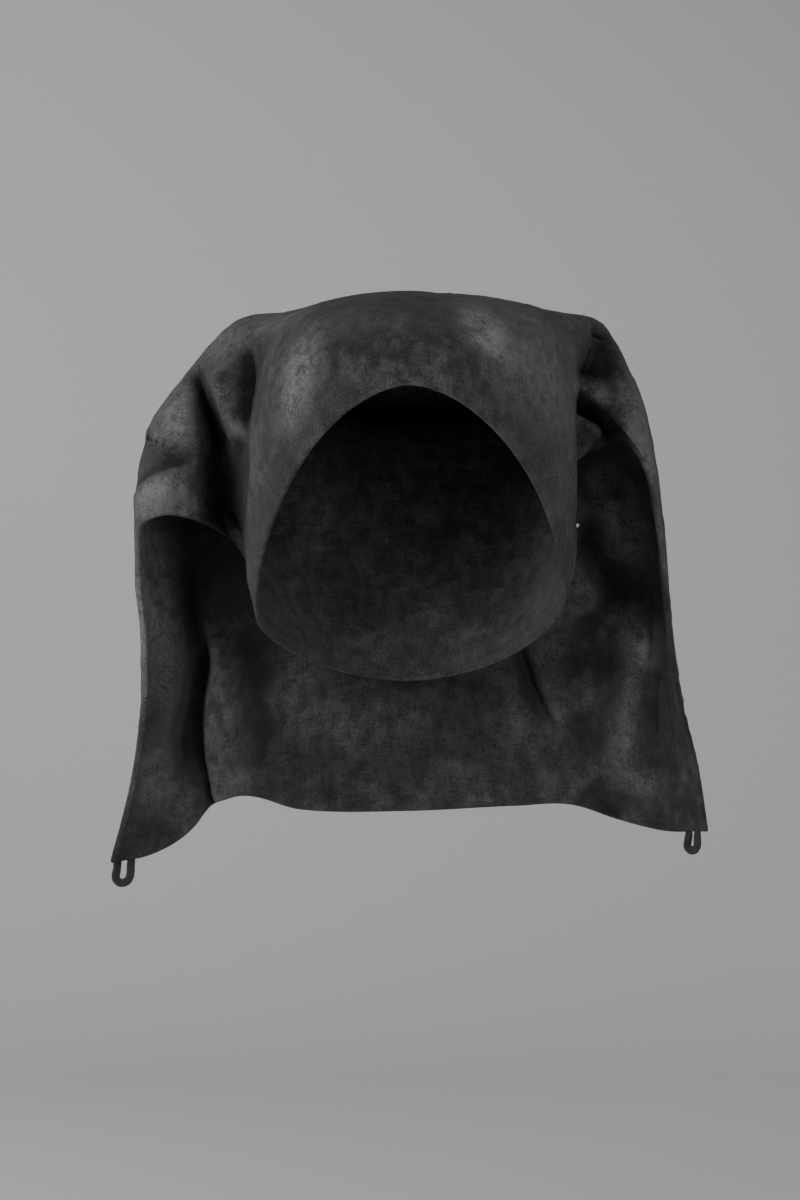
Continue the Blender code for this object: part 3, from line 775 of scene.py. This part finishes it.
def washed_linen(name, dark, pale_colour, pitch=0.00062):
    """Black linen after many washes: a plain weave with slubs, paler on its ridges and in soft patches,
    partly as wear and partly as painted highlight, and darker in its valleys and deep places as painted
    shade.
    """
    n = Nodes(name)
    uv = n.add("ShaderNodeUVMap", uv_map="cloth").outputs[0]
    place = n.add("ShaderNodeTexCoord").outputs["Object"]
    apart = n.add("ShaderNodeSeparateXYZ", {0: uv})
    sway = n.math("MULTIPLY_ADD", n.noise(uv, 45, 2), pitch * 1.6, -pitch * 0.8)
    u = n.math("DIVIDE", n.math("ADD", apart.outputs[0], sway), pitch)
    v = n.math("DIVIDE", n.math("ADD", apart.outputs[1], sway), pitch)
    warp = n.math("ABSOLUTE", n.math("SINE", n.math("MULTIPLY", u, math.pi)))
    weft = n.math("ABSOLUTE", n.math("SINE", n.math("MULTIPLY", v, math.pi)))
    crossing = n.math("ADD", n.math("FLOOR", u), n.math("FLOOR", v))
    on_top = n.math("ABSOLUTE", n.math("MODULO", crossing, 2.0))
    along_warp = n.add("ShaderNodeCombineXYZ", {0: u, 1: n.math("MULTIPLY", v, SLUB_STRETCH), 2: 3.0})
    warp_slub = n.noise(along_warp, 0.7, 3, 0.6)
    along_weft = n.add("ShaderNodeCombineXYZ", {0: n.math("MULTIPLY", u, SLUB_STRETCH), 1: v, 2: 9.0})
    weft_slub = n.noise(along_weft, 0.7, 3, 0.6)
    warp_height = n.math("MULTIPLY", warp, n.math("MULTIPLY_ADD", warp_slub, 1.5, 0.1))
    weft_height = n.math("MULTIPLY", weft, n.math("MULTIPLY_ADD", weft_slub, 1.5, 0.1))
    thread = n.add("ShaderNodeMix", {0: on_top, 2: warp_height, 3: weft_height}, data_type="FLOAT")
    thread = thread.outputs[0]
    slubs = n.math("ADD", n.ramp(warp_slub, *CENTRED), n.ramp(weft_slub, *CENTRED))
    fuzz = n.ramp(n.noise(place, 1000, 3, 0.7), *CENTRED)
    grain = n.ramp(n.noise(uv, 620, 3, 0.7), *CENTRED)
    mottle = n.ramp(n.noise(place, 150, 5, 0.62), *CENTRED)
    crumple = n.noise(place, 120, 4, 0.55)
    wash = n.noise(place, 38, 4, 0.62)
    wear_and_shade = n.add("ShaderNodeAttribute", attribute_name="wear_and_shade").outputs["Fac"]
    lint_zone = n.ramp(apart.outputs[1], 0.004, 0.034, 1.0, 0.15)
    lint = n.math("MULTIPLY", n.ramp(n.noise(place, 1150, 2, 0.6), 0.62, 0.74), lint_zone)
    # The attribute adds wear with painted highlight on ridges and painted shade in valleys, and the dark
    # places then multiply in painted shade
    fade_and_shade = n.math("MULTIPLY_ADD", wear_and_shade, 0.13, n.ramp(wash, 0.32, 0.72, 0.05, 0.18))
    pale, unshaded_share = pale_and_shaded_places(n, place)
    fade_and_shade = n.math("MULTIPLY", n.math("ADD", fade_and_shade, pale), unshaded_share)
    rough = n.math("MULTIPLY_ADD", slubs, SLUBS_SHARE, n.math("MULTIPLY", fuzz, FUZZ_SHARE))
    rough = n.math("ADD", rough, n.math("MULTIPLY", grain, GRAIN_SHARE))
    rough = n.math("ADD", rough, n.math("MULTIPLY", mottle, MOTTLE_SHARE))
    rough = n.math("ADD", rough, n.math("MULTIPLY_ADD", thread, THREAD_SHARE, -0.14))
    fade_and_shade = n.math("MULTIPLY_ADD", rough, n.math("MULTIPLY_ADD", fade_and_shade, 0.85, 0.03), fade_and_shade)
    fade_and_shade = n.math("MULTIPLY_ADD", lint, 0.5, fade_and_shade)
    fade_and_shade = n.add("ShaderNodeClamp", {0: fade_and_shade}).outputs[0]
    n.feed(n.shader.inputs["Base Color"], n.mix(fade_and_shade, (*dark, 1), (*pale_colour, 1)))
    height = n.math("MULTIPLY_ADD", fuzz, 0.25, n.math("MULTIPLY_ADD", grain, 0.6, thread))
    bump = n.add("ShaderNodeBump", {"Strength": 0.8, "Distance": 0.0005, "Height": height})
    folds = n.add("ShaderNodeBump", {"Strength": 0.6, "Distance": 0.0016, "Height": crumple})
    n.feed(bump.inputs["Normal"], folds)
    n.feed(n.shader.inputs["Normal"], bump)
    n.shader.inputs["Roughness"].default_value = 0.9
    n.shader.inputs["Specular IOR Level"].default_value = 0.2
    n.shader.inputs["Sheen Weight"].default_value = 0.12
    n.shader.inputs["Sheen Roughness"].default_value = 0.5
    n.shader.inputs["Sheen Tint"].default_value = (0.75, 0.76, 0.80, 1)
    return n.material


def plain_finish(name, colour, roughness):
    n = Nodes(name)
    n.shader.inputs["Roughness"].default_value = roughness
    n.shader.inputs["Base Color"].default_value = (*colour, 1)
    return n.material


def stud_metal():
    """Satin metal that is dulled in places and finely scratched."""
    n = Nodes("stud_metal_satin")
    place = n.add("ShaderNodeTexCoord").outputs["Object"]
    dulled = n.ramp(n.noise(place, 900, 3), 0.35, 0.70)
    n.feed(n.shader.inputs["Base Color"], n.mix(dulled, (0.80, 0.79, 0.77, 1), (0.55, 0.53, 0.50, 1)))
    n.feed(n.shader.inputs["Roughness"], n.ramp(n.noise(place, 2600, 2), 0.30, 0.70, 0.24, 0.42))
    scratches = n.noise(place, 7000, 2)
    bump = n.add("ShaderNodeBump", {"Strength": 0.25, "Distance": 0.00005, "Height": scratches})
    n.feed(n.shader.inputs["Normal"], bump)
    n.shader.inputs["Metallic"].default_value = 1.0
    return n.material


def softbox(name, place, aim, size, power):
    """A square studio softbox at place, turned towards aim."""
    lamp = bpy.data.lights.new(name, "AREA")
    lamp.energy = power
    lamp.size = size
    light = bpy.data.objects.new(name, lamp)
    light.location = place
    light.rotation_euler = (Vector(aim) - Vector(place)).to_track_quat("-Z", "Y").to_euler()
    bpy.context.scene.collection.objects.link(light)


# The studio's lights
# Columns: place, the point it is turned towards, size, power
LIGHTS = {
    "key": ((-1.15, -1.40, 0.30), (0, 0, -0.12), 0.8, 30),
    "fill": ((0.90, -1.60, 0.05), (0, 0, -0.15), 0.7, 17),
    "top": ((0.1, 0.7, 1.3), (0, 0.05, -0.1), 0.8, 3),
    "behind": ((1.30, 1.30, 0.50), (0, 0.10, -0.15), 0.9, 7),
    "backdrop": ((-1.3, 0.3, 0.3), (-0.5, 2.0, -0.3), 1.2, 16),
}
CAMERA_PLACE = (-0.0041, -1.445, -0.1566)
CAMERA_LENS = 85
AIR_BRIGHTNESS = 0.05


def studio():
    """The camera, the lights, and a pale floor that sweeps up behind."""
    camera = bpy.data.objects.new("camera", bpy.data.cameras.new("camera"))
    camera.data.lens = CAMERA_LENS
    camera.data.sensor_width = 36
    camera.location = CAMERA_PLACE
    camera.rotation_euler = (math.pi / 2, 0, 0)
    bpy.context.scene.collection.objects.link(camera)
    bpy.context.scene.camera = camera
    world = bpy.data.worlds.new("studio air")
    world.use_nodes = True
    world.node_tree.nodes["Background"].inputs["Color"].default_value = (1, 1, 1, 1)
    world.node_tree.nodes["Background"].inputs["Strength"].default_value = AIR_BRIGHTNESS
    bpy.context.scene.world = world
    for name, light in LIGHTS.items():
        softbox(name, *light)

    depth, floor, radius = 2.0, -0.62, 0.7
    profile = [(-3.0, floor), (depth - radius, floor)]
    for k in range(1, 13):
        angle = math.pi / 2 * k / 12
        profile.append((depth - radius + radius * math.sin(angle), floor + radius * (1 - math.cos(angle))))
    profile.append((depth, 3.0))
    points = [(side * 4.0, y, z) for y, z in profile for side in (-1, 1)]
    faces = [(2 * k, 2 * k + 1, 2 * k + 3, 2 * k + 2) for k in range(len(profile) - 1)]
    mesh = bpy.data.meshes.new("studio_floor")
    mesh.from_pydata(points, [], faces)
    mesh.shade_smooth()
    mesh.materials.append(plain_finish("pale_floor", (0.50, 0.50, 0.50), 0.9))
    sweep = bpy.data.objects.new("studio_floor", mesh)
    bpy.context.scene.collection.objects.link(sweep)


studio()
linen = washed_linen("black_linen_washed", (0.0080, 0.0080, 0.0085), (0.175, 0.175, 0.180))
edge = np.array(EDGE_STEPS) / BAG_LENGTH
runs = np.concatenate([edge, np.linspace(edge[-1], 1 - edge[-1], ROWS + 1)[1:-1], 1 - edge[::-1]])
outer_grid, inner_grid = panel_grids(runs)
shaped_grids = []
for name, node, grid, is_outer in (
    ("outer_cloth", "outer_panel", outer_grid, True),
    ("inner_cloth", "inner_panel", inner_grid, False),
):
    smooth = folded(grid, runs, is_outer)
    shaped_grids.append(crumpled(smooth, is_outer))
    panel = cloth_panel(name, smooth, shaped_grids[-1], is_outer, linen)
    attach(panel, "root")
    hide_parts(node)

rolled = washed_linen("rolled_linen_washed", (0.0080, 0.0080, 0.0085), (0.130, 0.130, 0.134), 0.0005)
for name, place in LOOPS.items():
    loop = corner_loop(name, *place, *shaped_grids, rolled)
    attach(loop, "root")
    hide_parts(name.replace("_loop", "_corner_loop"))

for stud_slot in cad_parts["side_stud"].material_slots:
    stud_slot.material = stud_metal()
